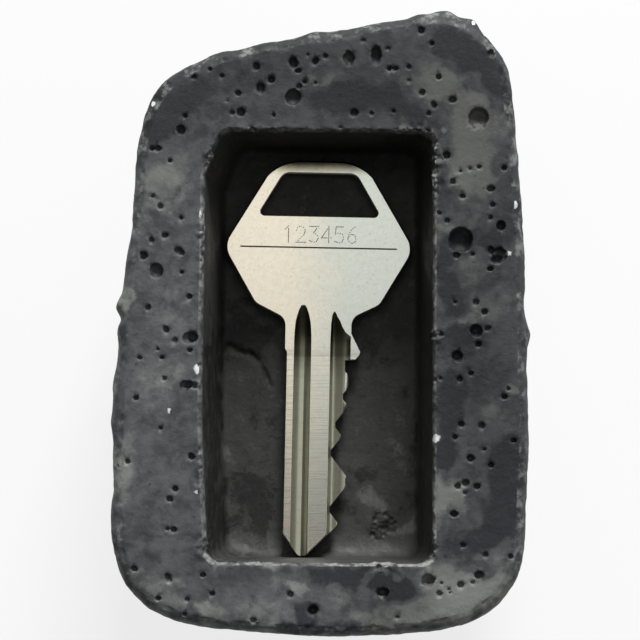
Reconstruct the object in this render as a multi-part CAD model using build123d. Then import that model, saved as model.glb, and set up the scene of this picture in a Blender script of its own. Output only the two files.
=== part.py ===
from build123d import *

import math
import os

# A hide-a-key rock with its spare key, lying on its back so that the pocket is open to the sky.
#
# The rock is one casting of stone-filled resin: a flat base face with a drafted pocket in it, rounded
# edges, and a crown of broken facets, on which the rock lies here. In use it is turned over, and the
# base face goes on the ground. The key is cut from a flat blank, with milled grooves and a bitted edge.
#
# Millimetres. +Z points out of the base face, +Y runs along the pocket towards the key's bow, and the
# origin is the middle of the rock's outline on the surface that it lies on.

# ---------------------------------------------------------------- the rock
ROCK_HEIGHT = 36.0

# The rock's widest outline, counter-clockwise from the middle of its right side.
OUTLINE = [
    (29.2, -14.8), (28.9, -3.6), (28.5, 9.0), (27.8, 18.8), (26.8, 30.0), (25.0, 38.2),
    (21.8, 41.9), (16.3, 43.3), (5.9, 41.7), (-6.9, 39.3), (-17.6, 36.4), (-22.9, 32.8),
    (-25.5, 26.9), (-26.4, 16.0), (-27.7, 4.8), (-28.6, -6.4), (-28.9, -17.6), (-28.8, -27.0),
    (-27.8, -35.4), (-23.2, -40.6), (-11.9, -43.3), (1.5, -44.0), (15.0, -43.2), (23.7, -40.5),
    (27.7, -35.3), (28.9, -26.0),
]

# Each level of the sides: height, the outline's size there along X and Y, and the shift of its middle.
SIDE_LEVELS = [
    (0.0, 0.72, 0.74, 1.0, -1.5),
    (8.0, 0.89, 0.90, 0.6, -0.9),
    (18.0, 0.985, 0.985, 0.2, -0.3),
    (27.0, 1.0, 1.0, 0.0, 0.0),
    (ROCK_HEIGHT - 1.8, 1.003, 1.003, 0.0, 0.0),
]
# The worn edge between the sides and the base face, in three bands.
EDGE_LEVELS = [
    SIDE_LEVELS[-1],
    (ROCK_HEIGHT - 0.9, 0.995, 0.997, 0.0, 0.0),
    (ROCK_HEIGHT - 0.3, 0.977, 0.985, 0.0, 0.0),
    (ROCK_HEIGHT, 0.952, 0.968, 0.0, 0.0),
]

# Broken facets of the crown: direction round the rock and lean towards the ground, both in degrees,
# and how far from the middle the facet meets the ground.
FACETS = [
    (3.0, 38.0, 17.5),
    (38.0, 47.0, 21.0),
    (62.0, 74.0, 17.0),
    (84.0, 36.0, 28.0),
    (126.0, 47.0, 19.5),
    (163.0, 33.0, 18.0),
    (198.0, 50.0, 14.5),
    (214.0, 72.0, 14.5),
    (233.0, 38.0, 26.0),
    (266.0, 47.0, 28.0),
    (297.0, 34.0, 31.0),
    (331.0, 52.0, 17.0),
]

# ---------------------------------------------------------------- the pocket
POCKET_FLOOR = 16.0
# Each level of the pocket, from its rounded lip down: height, and where its left, right, far and near
# walls are. The walls have a moulder's draft, and the near one ends in a cove, which carries the tip.
POCKET_LEVELS = [
    (ROCK_HEIGHT + 0.1, -17.2, 16.5, 27.1, -34.3),
    (ROCK_HEIGHT - 0.25, -16.8, 16.1, 26.8, -33.95),
    (ROCK_HEIGHT - 0.9, -16.5, 15.9, 26.6, -33.8),
    (17.9, -14.6, 14.6, 25.9, -33.62),
    (17.2, -14.5, 14.5, 25.8, -33.35),
    (16.5, -14.3, 14.3, 25.65, -32.5),
    (16.15, -14.1, 14.1, 25.5, -31.4),
    (POCKET_FLOOR, -13.7, 13.8, 25.2, -30.2),
]
POCKET_CORNER_RADIUS = 2.0
FAR_LEFT_SLANT = (2.6, 6.2)  # what the slant cuts off the far left corner, along X and Y
NEAR_LEFT_TAPER = 0.9        # how much further in the left wall is at its near end

# Burst air bubbles in the base face: where, and their radius.
BUBBLES = [
    (19.5, 11.6, 1.75), (21.9, 28.7, 1.45), (-4.2, 31.5, 1.1), (25.0, 9.5, 1.1),
    (-23.2, 6.9, 0.95), (21.7, -1.2, 0.9), (7.4, 37.4, 0.85), (3.6, 37.0, 0.8),
    (-18.6, -2.5, 0.8), (-19.0, -9.2, 0.75), (19.1, -4.9, 0.75), (-20.0, 26.7, 0.7),
    (25.1, 13.6, 0.7), (15.3, -36.1, 0.9), (9.0, -37.9, 0.85), (22.4, -35.4, 0.7),
]
# Half of a bubble's section, from its rim to its bottom: distance from its middle and depth, as shares
# of its radius.
BUBBLE_SECTION = [(1.0, 0.0), (0.78, 0.6), (0.0, 0.9)]

# ---------------------------------------------------------------- the key
# In the key's own frame the bow's side corners are on Y = 0, the tip points along -Y and the face
# that the photograph shows is up.
KEY_THICKNESS = 2.2
BOW_TOP = 12.7
TIP_END = 44.75
BOW_SIDE = (14.0, 0.0, 3.2)      # half width, place along the key, corner radius
BOW_CROWN = (6.7, BOW_TOP, 4.2)
BOW_HEEL = (9.15, -8.3, 2.0)
SHOULDER_SLOPE = 0.49            # of the edges that run from the heel corners down to the neck
NECK_RIGHT = 5.14
NECK_LEFT = 4.72
NECK_RADIUS = 1.7

BLADE_LEFT = 4.42
BLADE_RIGHT = 4.72
BLADE_START = 14.8

COLLAR_OUT = 6.45
COLLAR_TOP = 12.4
COLLAR_PEAK = 15.2
COLLAR_END = 16.3

# The tip: a short flat apex between two slanting sides.
TIP_LEFT_START = 41.6
APEX_LEFT = -2.1
APEX_RIGHT = -1.0

# The bitting: six flat-bottomed V cuts in the right edge.
FIRST_CUT = 17.5
CUT_PITCH = 4.09
CUT_DEPTHS = [0.55, 0.77, 1.79, 2.38, 0.21, 2.39]
CUT_FLAT = 0.75
CUT_HALF_ANGLE = 52.0

# The ring hole, a trapezoid: half width and place of its bottom and top corners, with their radii.
HOLE_BOTTOM = (8.75, 4.75, 0.45)
HOLE_TOP = (5.2, 10.75, 1.5)

# Milled grooves: each is its section across the blade, as (X, depth) pairs from the left, and where the
# cutter starts to lift out. The first two are in the upper face.
LEFT_GROOVE = [
    (-3.28, 0.0), (-3.12, 0.25), (-2.88, 0.46), (-2.6, 0.65), (-2.3, 0.8),
    (-1.75, 0.8), (-1.45, 0.65), (-1.17, 0.46), (-0.93, 0.25), (-0.77, 0.0),
]
LEFT_RUN_OUT = 14.0
RIGHT_GROOVE = [
    (1.97, 0.0), (2.05, 0.4), (2.2, 0.7), (2.45, 0.85), (2.7, 0.8), (3.0, 0.63),
    (3.4, 0.48), (3.7, 0.32), (4.2, 0.19), (4.95, 0.12), (4.95, 0.0),
]
RIGHT_RUN_OUT = 15.0
BACK_GROOVE = [(-0.35, 0.0), (-0.1, 0.75), (0.35, 0.95), (0.95, 0.95), (1.4, 0.75), (1.65, 0.0)]
BACK_RUN_OUT = 14.8
CUTTER_RADIUS = 20.0
LIFT_OUT_ANGLE = 24.0  # degrees of the cutter's circle that are modelled, from its lowest point

# The scored line under the number on the bow.
SCORE_LENGTH = 22.8
SCORE_WIDTH = 0.22
SCORE_DEPTH = 0.12

KEY_EDGE = 0.15       # the tumbled edge round the key's faces

# Where the key lies: the middle of its bow, its turn about Z and how far the cove lifts its tip.
KEY_PLACE = (-0.44, 11.3)
KEY_TURN = -0.66
KEY_CLEARANCE = 0.12
TIP_LIFT = 1.6


# ---------------------------------------------------------------- making the rock
def outline_at(height, size_x, size_y, shift_x, shift_y):
    """The rock's outline at one level of its sides."""
    points = [(x * size_x + shift_x, y * size_y + shift_y, height) for x, y in OUTLINE]
    return make_face(Spline(*points, periodic=True))


def facet_plane(direction, lean, reach):
    """The plane of a broken facet, with its normal pointing out of the rock."""
    around = math.radians(direction)
    down = math.radians(lean)
    normal = Vector(math.cos(around) * math.cos(down), math.sin(around) * math.cos(down), -math.sin(down))
    return Plane(origin=(reach * math.cos(around), reach * math.sin(around), 0), z_dir=normal)


def rock_blank():
    """The rock before its pocket: bulging sides, a worn base edge and a faceted crown."""
    sides = loft([outline_at(*level) for level in SIDE_LEVELS])
    edge = loft([outline_at(*level) for level in EDGE_LEVELS], ruled=True)
    blank = sides + edge
    for facet in FACETS:
        blank = split(blank, bisect_by=facet_plane(*facet), keep=Keep.BOTTOM)
    return blank


def pocket_outline(height, left, right, far, near):
    """The pocket's outline at one height, with its slanting far left corner and tapering left wall."""
    slant_x, slant_y = FAR_LEFT_SLANT
    corners = [
        (left + NEAR_LEFT_TAPER, near),
        (right, near),
        (right - 0.4, far),
        (left + slant_x, far),
        (left, far - slant_y),
        (left - 0.1, near + 20.0),
    ]
    outline = make_face(Polyline(*corners, close=True))
    return Pos(0, 0, height) * fillet(outline.vertices(), POCKET_CORNER_RADIUS)


def pocket():
    """The space of the pocket, through the base face."""
    return loft([pocket_outline(*level) for level in POCKET_LEVELS], ruled=True)


def bubble(x, y, radius):
    """The space of one burst bubble, through the base face."""
    points = [(share * radius, 0, -depth * radius) for share, depth in BUBBLE_SECTION]
    points += [(0, 0, radius), (radius, 0, radius)]
    return Pos(x, y, ROCK_HEIGHT) * revolve(make_face(Polyline(*points, close=True)), Axis.Z)


def rock_body():
    """The casting."""
    return rock_blank() - pocket() - [bubble(*where) for where in BUBBLES]


# ---------------------------------------------------------------- making the key
def shoulder_level(x):
    """Where along the key its shoulder edges are, at a distance from its middle line."""
    heel_x, heel_y, _ = BOW_HEEL
    return heel_y - (heel_x - abs(x)) * SHOULDER_SLOPE


def bow():
    """The six-sided bow as a flat face, with its rounded corners."""
    right = [BOW_HEEL[:2], BOW_SIDE[:2], BOW_CROWN[:2]]
    left = [(-x, y) for x, y in reversed(right)]
    face = make_face(Polyline((0, shoulder_level(0)), *right, *left, close=True))
    for _, level, radius in (BOW_HEEL, BOW_SIDE, BOW_CROWN):
        corners = [corner for corner in face.vertices() if abs(corner.Y - level) < 0.01]
        face = fillet(corners, radius)
    return face


def neck_and_blade():
    """The neck, the collar that stops the key in the lock, and the uncut blade with its tip."""
    tip_right_start = TIP_END - (BLADE_RIGHT - APEX_RIGHT)
    return make_face(Polyline(
        (-NECK_LEFT, 0),
        (-NECK_LEFT, -BLADE_START),
        (-BLADE_LEFT, -BLADE_START - 0.5),
        (-BLADE_LEFT, -TIP_LEFT_START),
        (APEX_LEFT, -TIP_END),
        (APEX_RIGHT, -TIP_END),
        (BLADE_RIGHT, -tip_right_start),
        (BLADE_RIGHT, -COLLAR_END),
        (COLLAR_OUT - 0.7, -COLLAR_END),
        (COLLAR_OUT, -COLLAR_PEAK - 0.25),
        (COLLAR_OUT, -COLLAR_PEAK + 0.25),
        (NECK_RIGHT, -COLLAR_TOP),
        (NECK_RIGHT, 0),
        close=True,
    ))


def ring_hole():
    """The trapezoid hole for a key ring."""
    bottom_x, bottom_y, bottom_radius = HOLE_BOTTOM
    top_x, top_y, top_radius = HOLE_TOP
    corners = [(-bottom_x, bottom_y), (bottom_x, bottom_y), (top_x, top_y), (-top_x, top_y)]
    face = make_face(Polyline(*corners, close=True))
    face = fillet(face.vertices().group_by(Axis.Y)[-1], top_radius)
    return fillet(face.vertices().group_by(Axis.Y)[0], bottom_radius)


def blank_outline():
    """The stamped blank: bow, neck and blade in one, rounded where the bow runs into the neck."""
    face = bow() + neck_and_blade()
    for neck_x in (-NECK_LEFT, NECK_RIGHT):
        corner = face.vertices().sort_by_distance((neck_x, shoulder_level(neck_x), 0))[0]
        face = fillet(corner, NECK_RADIUS)
    return face - ring_hole()


def groove(section, run_out):
    """A milled groove in the face at Z = 0. It runs out of the tip, and at its other end the cutter
    lifts out of the blade along its own circle."""
    past_face = 1.0
    deepest = max(depth for _, depth in section)
    points = [(x, -run_out, -depth) for x, depth in section]
    points += [(section[-1][0], -run_out, past_face), (section[0][0], -run_out, past_face)]
    profile = make_face(Polyline(*points, close=True))
    channel = extrude(profile, amount=TIP_END - run_out + 1.0, dir=(0, -1, 0))
    cutter_axis = Axis((0, -run_out, CUTTER_RADIUS - deepest), (1, 0, 0))
    return channel + revolve(profile, cutter_axis, LIFT_OUT_ANGLE)


def bitting_cut(number, depth):
    """One cut of the bitting, through the blade. The first ends square under the collar."""
    past_edge = 2.0
    centre = -(FIRST_CUT + number * CUT_PITCH)
    bottom = BLADE_RIGHT - depth
    flank = (depth + past_edge) * math.tan(math.radians(CUT_HALF_ANGLE))
    lower, upper = centre - CUT_FLAT / 2, centre + CUT_FLAT / 2
    upper_mouth = upper + flank
    if number == 0:
        upper = upper_mouth = -COLLAR_END
    mouth_x = BLADE_RIGHT + past_edge
    corners = [(bottom, lower), (mouth_x, lower - flank), (mouth_x, upper_mouth), (bottom, upper)]
    return extrude(make_face(Polyline(*corners, close=True)), amount=KEY_THICKNESS)


def key():
    """The spare key, made as a locksmith's is: a stamped blank with tumbled edges, milled, scored
    and cut, and then laid in the pocket with its tip up on the cove."""
    blank = extrude(blank_outline(), amount=KEY_THICKNESS)
    rims = blank.faces().sort_by(Axis.Z)[0].edges() + blank.faces().sort_by(Axis.Z)[-1].edges()
    blank = chamfer(rims, KEY_EDGE)
    for section, run_out in ((LEFT_GROOVE, LEFT_RUN_OUT), (RIGHT_GROOVE, RIGHT_RUN_OUT)):
        blank -= Pos(0, 0, KEY_THICKNESS) * groove(section, run_out)
    blank -= mirror(groove(BACK_GROOVE, BACK_RUN_OUT), Plane.XY)
    blank -= Pos(0, 0, KEY_THICKNESS) * Box(SCORE_LENGTH, SCORE_WIDTH, 2 * SCORE_DEPTH)
    for number, depth in enumerate(CUT_DEPTHS):
        blank -= bitting_cut(number, depth)
    tilt = math.asin(TIP_LIFT / (BOW_TOP + TIP_END))
    rest = POCKET_FLOOR + KEY_CLEARANCE + BOW_TOP * math.sin(tilt)
    return Pos(*KEY_PLACE, rest) * Rot(0, 0, KEY_TURN) * Rot(-math.degrees(tilt), 0, 0) * blank


# ---------------------------------------------------------------- writing the parts
def to_row_frame(parts):
    """Moves everything so that the origin is the middle of the rock's box, at its lowest level."""
    box = parts["rock_body"].bounding_box()
    shift = Pos(-(box.min.X + box.max.X) / 2, -(box.min.Y + box.max.Y) / 2, -box.min.Z)
    return {name: shift * solid for name, solid in parts.items()}


PARTS = to_row_frame({"rock_body": rock_body(), "key": key()})

os.makedirs("parts", exist_ok=True)
for name, solid in PARTS.items():
    export_step(solid, f"parts/{name}.step")
    print(name, "solids", len(solid.solids()), "volume", round(solid.volume), solid.bounding_box())
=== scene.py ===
import itertools
import math
import random

import bmesh
import bpy
import mathutils
import numpy as np
from mathutils import Matrix, Vector
from mathutils.bvhtree import BVHTree


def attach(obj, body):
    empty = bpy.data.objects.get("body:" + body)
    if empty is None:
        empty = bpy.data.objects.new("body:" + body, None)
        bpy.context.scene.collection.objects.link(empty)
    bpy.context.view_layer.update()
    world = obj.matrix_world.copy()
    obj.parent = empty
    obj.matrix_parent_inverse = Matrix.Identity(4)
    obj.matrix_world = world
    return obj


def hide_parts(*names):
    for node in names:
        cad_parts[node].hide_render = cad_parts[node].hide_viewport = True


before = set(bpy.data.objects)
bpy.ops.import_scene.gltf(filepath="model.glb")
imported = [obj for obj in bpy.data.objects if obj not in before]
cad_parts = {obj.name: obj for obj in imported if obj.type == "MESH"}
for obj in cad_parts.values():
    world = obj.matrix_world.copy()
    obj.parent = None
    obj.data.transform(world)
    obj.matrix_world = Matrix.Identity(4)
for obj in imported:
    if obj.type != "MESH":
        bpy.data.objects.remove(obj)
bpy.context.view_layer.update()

# A hide-a-key rock with its spare key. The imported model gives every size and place. This script gives the
# casting its grain, pits, chips and mottling, and the key its number, its plating and its wear.
#
# Everything here is worked out in millimetres and written to Blender in metres.
MM = 0.001

# ------------------------ the photograph's view
# Pixels of the 640 x 640 photograph are used for what it shows on the base face. One pixel is PIXEL
# millimetres there, and the frame's X = 0, Y = 0 is at MIDDLE_PIXEL.
PIXEL = 0.14
MIDDLE_PIXEL = (322.2, 323.5)
IMAGE_SIZE = 640
BASE_FACE = 36.0             # height of the base face, which is up
CAMERA_HEIGHT = 450.0        # above the base face
CAMERA_FOOT = (-0.15, -17.62)
SENSOR = 36.0


def from_photo(u, v, below=0.0):
    """Where the photograph's pixel (u, v) is on the base face, or on a level that far below it."""
    x, y = (u - MIDDLE_PIXEL[0]) * PIXEL, (MIDDLE_PIXEL[1] - v) * PIXEL
    spread = 1 + below / CAMERA_HEIGHT
    return CAMERA_FOOT[0] + (x - CAMERA_FOOT[0]) * spread, CAMERA_FOOT[1] + (y - CAMERA_FOOT[1]) * spread


# ------------------------ the casting's features
# Burst bubbles in the base face: pixel and radius in millimetres, then, where they aren't round, how much
# taller than wide and the turn in degrees from the image's vertical.
BUBBLES = [
    (460, 239, 1.68), (477, 117, 1.35), (291, 97, 1.12), (374, 54, 0.72, 1.9, 0), (347, 57, 0.62, 1.8, 8),
    (156, 273, 0.92), (192.6, 338, 0.78, 1.1, 0), (189, 386, 0.72, 0.8, 20), (178.6, 252.6, 0.5, 1.7, 60),
    (142.5, 257, 0.55, 1.1, 0), (179, 131, 0.64), (156, 149.5, 0.5, 0.9, 0), (150, 149.5, 0.36),
    (236, 93, 0.42), (258.5, 88, 0.66, 1.2, 0), (269, 79, 0.5), (239, 112.4, 0.6, 1.1, 0),
    (230, 113, 0.34), (291, 62, 0.62, 1.4, 15), (296, 70, 0.45, 0.8, 0), (297, 86, 0.42, 1.3, -25),
    (302, 81, 0.34), (254, 66, 0.52, 1.1, 0), (305.5, 54, 0.25), (313, 60, 0.45, 1.3, -20),
    (313.5, 82, 0.27), (323, 55, 0.42), (272, 115, 0.3), (419, 28, 0.5), (490, 50.5, 0.62, 0.9, 0),
    (437, 75, 0.4), (420.6, 91, 0.46), (451, 98, 0.58, 0.9, 0), (432, 103, 0.36, 1.6, 20),
    (427, 112, 0.34), (352.5, 112, 0.58), (370, 112, 0.28), (391.5, 110, 0.28), (393, 67, 0.45, 0.8, 0),
    (387.5, 67, 0.33), (407, 65, 0.36), (407, 79, 0.4, 0.9, 0), (430, 41, 0.33), (361, 39, 0.42, 0.8, 0),
    (386, 47, 0.4, 0.8, 0), (445.5, 154, 0.52, 1.1, 0), (452, 180, 0.45), (490, 187, 0.58, 0.8, 0),
    (462, 194.5, 0.4, 0.8, 0), (459.5, 169.5, 0.24), (469, 167, 0.26), (478, 165, 0.33),
    (492, 203, 0.4, 0.9, 0), (490, 216, 0.38), (500.5, 223.5, 0.66), (438.5, 212, 0.33),
    (446.5, 219.5, 0.4), (497, 256, 0.86, 0.95, 30), (491, 249, 0.5, 1.2, 40), (456, 254, 0.52, 0.9, 0),
    (490, 267.5, 0.45, 0.7, 0), (472, 253, 0.3), (476, 301, 0.5, 0.95, 0), (484.5, 310.5, 0.48, 0.9, 0),
    (476, 329, 0.82), (488, 327, 0.5, 0.8, 30), (478.6, 343, 0.44), (457.5, 355, 0.76),
    (441, 334, 0.4, 0.7, 0), (471.5, 372, 0.36), (460, 378, 0.42, 1.2, 0), (441, 377.5, 0.3),
    (505, 395, 0.44, 0.9, 0), (462, 423, 0.42), (482.5, 424.5, 0.5), (456, 436, 0.36), (471.5, 457, 0.56),
    (485, 448, 0.34, 0.8, 0), (492, 463.5, 0.4), (514.5, 439, 0.42, 0.8, 0), (466.5, 482, 0.56, 0.95, 0),
    (459, 484.5, 0.46), (478, 485, 0.48, 0.9, 0), (466, 491.5, 0.32), (455.5, 512.5, 0.56, 0.8, 0),
    (464.5, 543.5, 0.36), (487, 553, 0.45), (480.5, 573, 0.6), (512.5, 554.5, 0.38), (474.5, 580.5, 0.32),
    (430.5, 579.5, 0.62, 1.7, -68), (462.5, 583, 0.5), (441.5, 592, 0.44), (443.5, 581.5, 0.25),
    (451, 587.5, 0.25), (451.5, 591, 0.22), (385, 591, 0.66, 1.35, 90), (381.5, 566, 0.5),
    (399.5, 615.5, 0.36, 0.8, 0), (129, 463, 0.4), (119, 468, 0.34), (171.5, 500, 0.45, 1.1, 60),
    (177, 490, 0.42, 1.1, 45), (176, 530.5, 0.45), (169.5, 530, 0.32), (193, 458, 0.5, 0.9, 0),
    (205.5, 575.5, 0.46, 0.8, 20), (190, 600, 0.38), (161, 599, 0.42, 0.9, 0), (215, 594, 0.45, 0.7, 0),
    (293, 594, 0.5, 1.1, 0), (315.5, 609.5, 0.72, 0.95, 0), (256, 620, 0.44), (268, 629, 0.32, 1.2, 0),
    (187.5, 614.5, 0.33), (137, 570, 0.5, 0.8, 0), (171, 579, 0.5, 1.5, 25), (162, 429.5, 0.3),
    (137, 399.5, 0.42), (165, 380, 0.36), (190, 351.5, 0.38, 0.8, 0), (158, 350.5, 0.27),
    (140, 359.5, 0.36, 0.9, 0), (162.5, 359, 0.36, 0.8, 0), (166, 331, 0.45, 1.3, 20),
    (175.5, 341.5, 0.42, 1.1, 0), (189, 297.5, 0.4), (164, 236.5, 0.5, 0.8, 25),
    (150.5, 241.5, 0.42, 1.1, 20), (180, 219, 0.34), (159, 207.5, 0.42), (151.5, 197.5, 0.32),
    (181.5, 273.5, 0.32), (148, 309, 0.36, 1.3, -20), (126.5, 282, 0.3, 1.2, 0), (168, 161.5, 0.32),
    (183, 116.5, 0.36), (191.5, 77.5, 0.36), (207.5, 69, 0.3), (219.5, 76, 0.34), (225, 101, 0.25),
    (509, 387, 0.3), (516, 233.5, 0.26), (505.5, 396, 0.34), (503, 166, 0.4, 0.9, 0), (455, 301, 0.24),
    (432, 304, 0.24),
]
PITS = [bubble if len(bubble) == 5 else (*bubble, 1.0, 0) for bubble in BUBBLES]

# Patches of paler or darker stone on the base face: pixel, half width and half height in millimetres, turn
# in degrees, and tone from -1, the darkest blue-grey, to 1, the palest grey-green.
PATCHES = [
    (452, 92, 4.6, 5.0, 20, 0.62), (478, 122, 4.4, 4.4, 0, 0.6), (462, 150, 3.6, 4.6, 0, 0.75),
    (470, 172, 3.8, 3.2, -20, 0.7), (425, 80, 3.4, 3.2, 0, 0.38), (465, 208, 3.4, 3.4, 0, 0.35),
    (492, 300, 4.4, 2.4, 20, 0.6), (462, 318, 2.6, 0.9, 4, 0.85), (468, 268, 2.6, 2.6, -30, 0.5),
    (448, 488, 2.4, 2.8, 0, 0.8), (441, 500, 1.4, 4.6, 0, 0.6), (470, 498, 3.4, 3.0, 0, 0.35),
    (455, 585, 5.2, 2.8, -12, 0.85), (478, 596, 5.6, 2.6, 10, 0.8), (436, 612, 5.6, 2.2, 4, 0.7),
    (385, 618, 4.6, 2.0, 0, 0.62), (506, 575, 1.5, 4.0, 30, 0.5), (492, 405, 2.0, 2.6, 0, 0.5),
    (511, 388, 0.9, 0.9, 0, 0.9), (508, 252, 0.6, 0.5, 0, 0.9), (445, 225, 1.0, 0.8, 0, 0.7),
    (312, 77, 0.55, 1.5, 42, 1.0), (326, 81, 0.8, 0.9, 0, 0.85), (350, 45, 3.4, 1.8, 0, 0.22),
    (340, 66, 3.0, 1.8, 0, 0.3), (300, 68, 2.6, 2.2, 0, 0.25), (370, 81, 0.6, 0.4, 0, 0.6),
    (165, 160, 3.4, 3.4, 30, 0.5), (160, 190, 4.2, 3.4, 0, 0.45), (150, 225, 3.4, 3.0, 0, 0.25),
    (125, 215, 1.0, 4.2, 5, 0.5), (128, 300, 1.0, 2.6, 0, 0.8), (180, 315, 3.6, 5.0, 0, 0.3),
    (160, 375, 4.2, 2.0, 10, 0.45), (150, 395, 4.0, 2.4, 0, 0.25), (122, 480, 1.6, 4.2, 10, 0.75),
    (130, 455, 1.6, 3.0, 0, 0.5), (150, 580, 3.8, 2.0, -35, 0.45), (165, 610, 3.6, 1.6, 25, 0.55),
    (215, 616, 2.0, 1.6, 20, 0.6), (205, 606, 0.9, 0.5, 0, 0.95), (260, 612, 5.0, 2.2, 0, 0.45),
    (305, 589, 1.4, 1.2, 0, 0.8), (290, 580, 3.6, 2.0, 20, 0.4), (345, 600, 2.0, 2.4, 60, 0.4),
    (178, 582, 1.1, 0.9, 20, 0.75), (270, 569, 1.0, 0.4, 10, 0.9), (252, 560, 1.0, 0.7, 10, 0.85),
    (235, 558, 0.9, 0.8, 0, 0.85), (373, 573, 1.4, 0.6, 50, 0.8), (392, 572, 1.2, 0.6, -50, 0.8),
    (420, 165, 1.0, 1.8, 10, 0.75), (401, 124, 1.0, 0.8, 40, 0.8), (410, 131, 1.4, 0.6, -30, 0.75),
    (152, 125, 3.4, 5.6, 12, -0.8), (175, 96, 4.6, 3.0, 35, -0.5), (225, 75, 4.6, 2.4, 25, -0.35),
    (200, 118, 4.6, 3.4, 0, -0.3), (348, 95, 5.6, 2.6, 6, -0.75), (400, 105, 3.6, 2.2, -40, -0.6),
    (438, 122, 3.2, 2.2, -40, -0.65), (452, 45, 4.2, 2.8, -25, -0.8), (478, 70, 2.6, 4.6, 40, -0.75),
    (498, 92, 1.6, 3.0, 10, -0.5), (447, 180, 1.8, 6.0, 0, -0.6), (450, 280, 1.9, 6.6, 4, -0.75),
    (475, 240, 4.6, 2.0, 0, -0.6), (500, 285, 3.4, 1.2, 20, -0.4), (505, 215, 2.0, 3.0, 0, -0.4),
    (460, 340, 3.6, 2.4, 0, -0.5), (480, 380, 4.0, 3.0, 0, -0.35), (450, 405, 1.8, 5.4, 0, -0.7),
    (446, 460, 1.6, 3.6, 0, -0.85), (508, 460, 2.4, 4.6, -12, -0.85), (500, 510, 3.2, 4.6, 20, -0.85),
    (485, 535, 2.6, 2.6, 20, -0.7), (463, 545, 3.4, 2.6, 0, -0.45), (350, 575, 4.6, 1.7, -4, -0.8),
    (390, 580, 2.6, 2.4, 10, -0.75), (405, 590, 2.4, 2.0, 30, -0.65), (312, 612, 1.7, 1.5, 0, -0.85),
    (300, 573, 2.8, 1.2, 0, -0.85), (340, 628, 3.4, 1.0, 0, -0.5), (200, 545, 2.6, 2.0, 30, -0.3),
    (148, 548, 3.2, 2.6, 0, -0.25), (185, 420, 3.0, 2.4, 0, -0.2), (170, 260, 3.0, 3.0, 0, -0.15),
]

# Broad differences in the stone's brightness, with 1 for twice as bright in the last place.
SHADES = [
    (330, 66, 27.0, 9.5, -14, -1.3), (485, 260, 7.5, 22.0, 0, -0.95), (490, 395, 8.0, 11.0, 0, -0.55),
    (500, 500, 6.0, 8.0, 0, -0.2), (160, 130, 8.0, 9.0, 0, -0.25), (150, 290, 6.5, 20.0, 0, 0.15),
    (150, 470, 6.5, 16.0, 0, 0.2), (290, 608, 14.0, 5.5, 0, 0.3), (465, 590, 7.0, 4.0, 0, 0.15),
    (395, 600, 5.0, 5.0, 0, -0.8),
]

# The pocket's floor: paler and darker patches, as above, the cluster of small bubbles and the crack.
# The darker patches at about pixels (244, 345), (250, 320) and (372, 352) are the far wall's shadow painted
# on the floor, and those at (216, 420), (214, 520) and (415, 470) are painted shade at the foot of the side
# walls.
FLOOR_LEVEL = 20.0            # below the base face
FLOOR_PATCHES = [
    (250, 450, 4.0, 14.0, 0, -0.3), (248, 518, 5.0, 7.0, 0, -0.5), (244, 345, 5.0, 3.0, 0, -0.4),
    (244, 392, 2.7, 4.6, 0, 0.35), (240, 440, 2.4, 3.4, 8, 0.3), (232, 455, 0.9, 1.6, 20, 0.7),
    (248, 542, 3.0, 1.4, 0, 0.4), (290, 552, 4.0, 0.9, 0, 0.15), (216, 420, 1.0, 12.0, 0, -0.8),
    (214, 520, 1.2, 6.0, 0, -0.6), (262, 505, 2.4, 3.2, 0, -0.35), (388, 420, 3.4, 4.6, 0, 0.2),
    (398, 455, 2.0, 3.6, 10, 0.4), (372, 496, 2.4, 1.6, -20, 0.8), (385, 506, 1.4, 1.2, 0, 0.7),
    (366, 473, 1.9, 1.3, 0, -0.8), (348, 508, 2.0, 1.4, 0, -0.9), (384, 526, 2.2, 1.9, 0, -0.4),
    (408, 532, 1.8, 1.0, 35, 0.85), (414, 520, 0.6, 1.8, -20, 0.8), (360, 378, 1.6, 1.3, 0, 0.35),
    (405, 388, 0.9, 0.8, 0, -0.8), (372, 352, 5.0, 3.0, 0, -0.4), (392, 545, 4.0, 0.9, 0, 0.3),
    (250, 320, 5.0, 3.6, 0, -0.6), (415, 470, 0.8, 9.0, 0, -0.55), (262, 470, 1.4, 1.0, 0, 0.6),
]
FLOOR_BUBBLES = (383, 526, 2.1, 1.9, 34)   # pixel, half width and height in millimetres, and how many
CRACK = [(228, 347), (240, 352), (251, 355), (259, 361), (265, 372), (270, 386)]

# White chips where the coating is knocked off an edge: pixel and half width and height in millimetres.
CHIPS = [
    (197, 370.5, 0.42, 0.72), (436.5, 437.5, 0.36, 0.6), (150.5, 104, 0.3, 0.42), (216, 105, 0.16, 0.16),
    (465.5, 342.5, 0.3, 0.22), (471, 21, 0.3, 0.25), (198, 492.5, 0.2, 0.42), (515.5, 355, 0.25, 0.12),
    (170.5, 411.5, 0.3, 0.36), (199, 215, 0.14, 0.5), (508, 251.5, 0.36, 0.3), (515, 203, 0.26, 0.6),
]

# Lumps and steps in the rock's outline, seen from above: pixel, half width in millimetres, and how far
# the edge stands out, or in where it is negative.
OUTLINE_LUMPS = [
    (222, 53, 1.6, 0.25), (235, 50, 2.0, -0.3), (313, 32, 1.8, 0.35), (400, 19, 2.0, -0.3),
    (419, 17, 0.9, 0.3), (443, 13, 2.0, 0.6), (453, 18, 1.0, -0.45), (470, 21, 1.0, 0.4),
    (482, 32, 1.8, -0.5), (492, 43, 2.0, -0.35), (118, 308, 1.2, 0.8), (117, 331, 1.4, 0.35),
    (119.5, 321, 0.8, -0.3), (528, 332, 1.5, 0.55), (524, 300, 3.0, -0.2), (115, 523, 3.2, 0.35),
    (113, 380, 3.0, 0.3), (121, 355, 3.0, -0.2), (113, 425, 2.0, 0.3),
]

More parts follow.
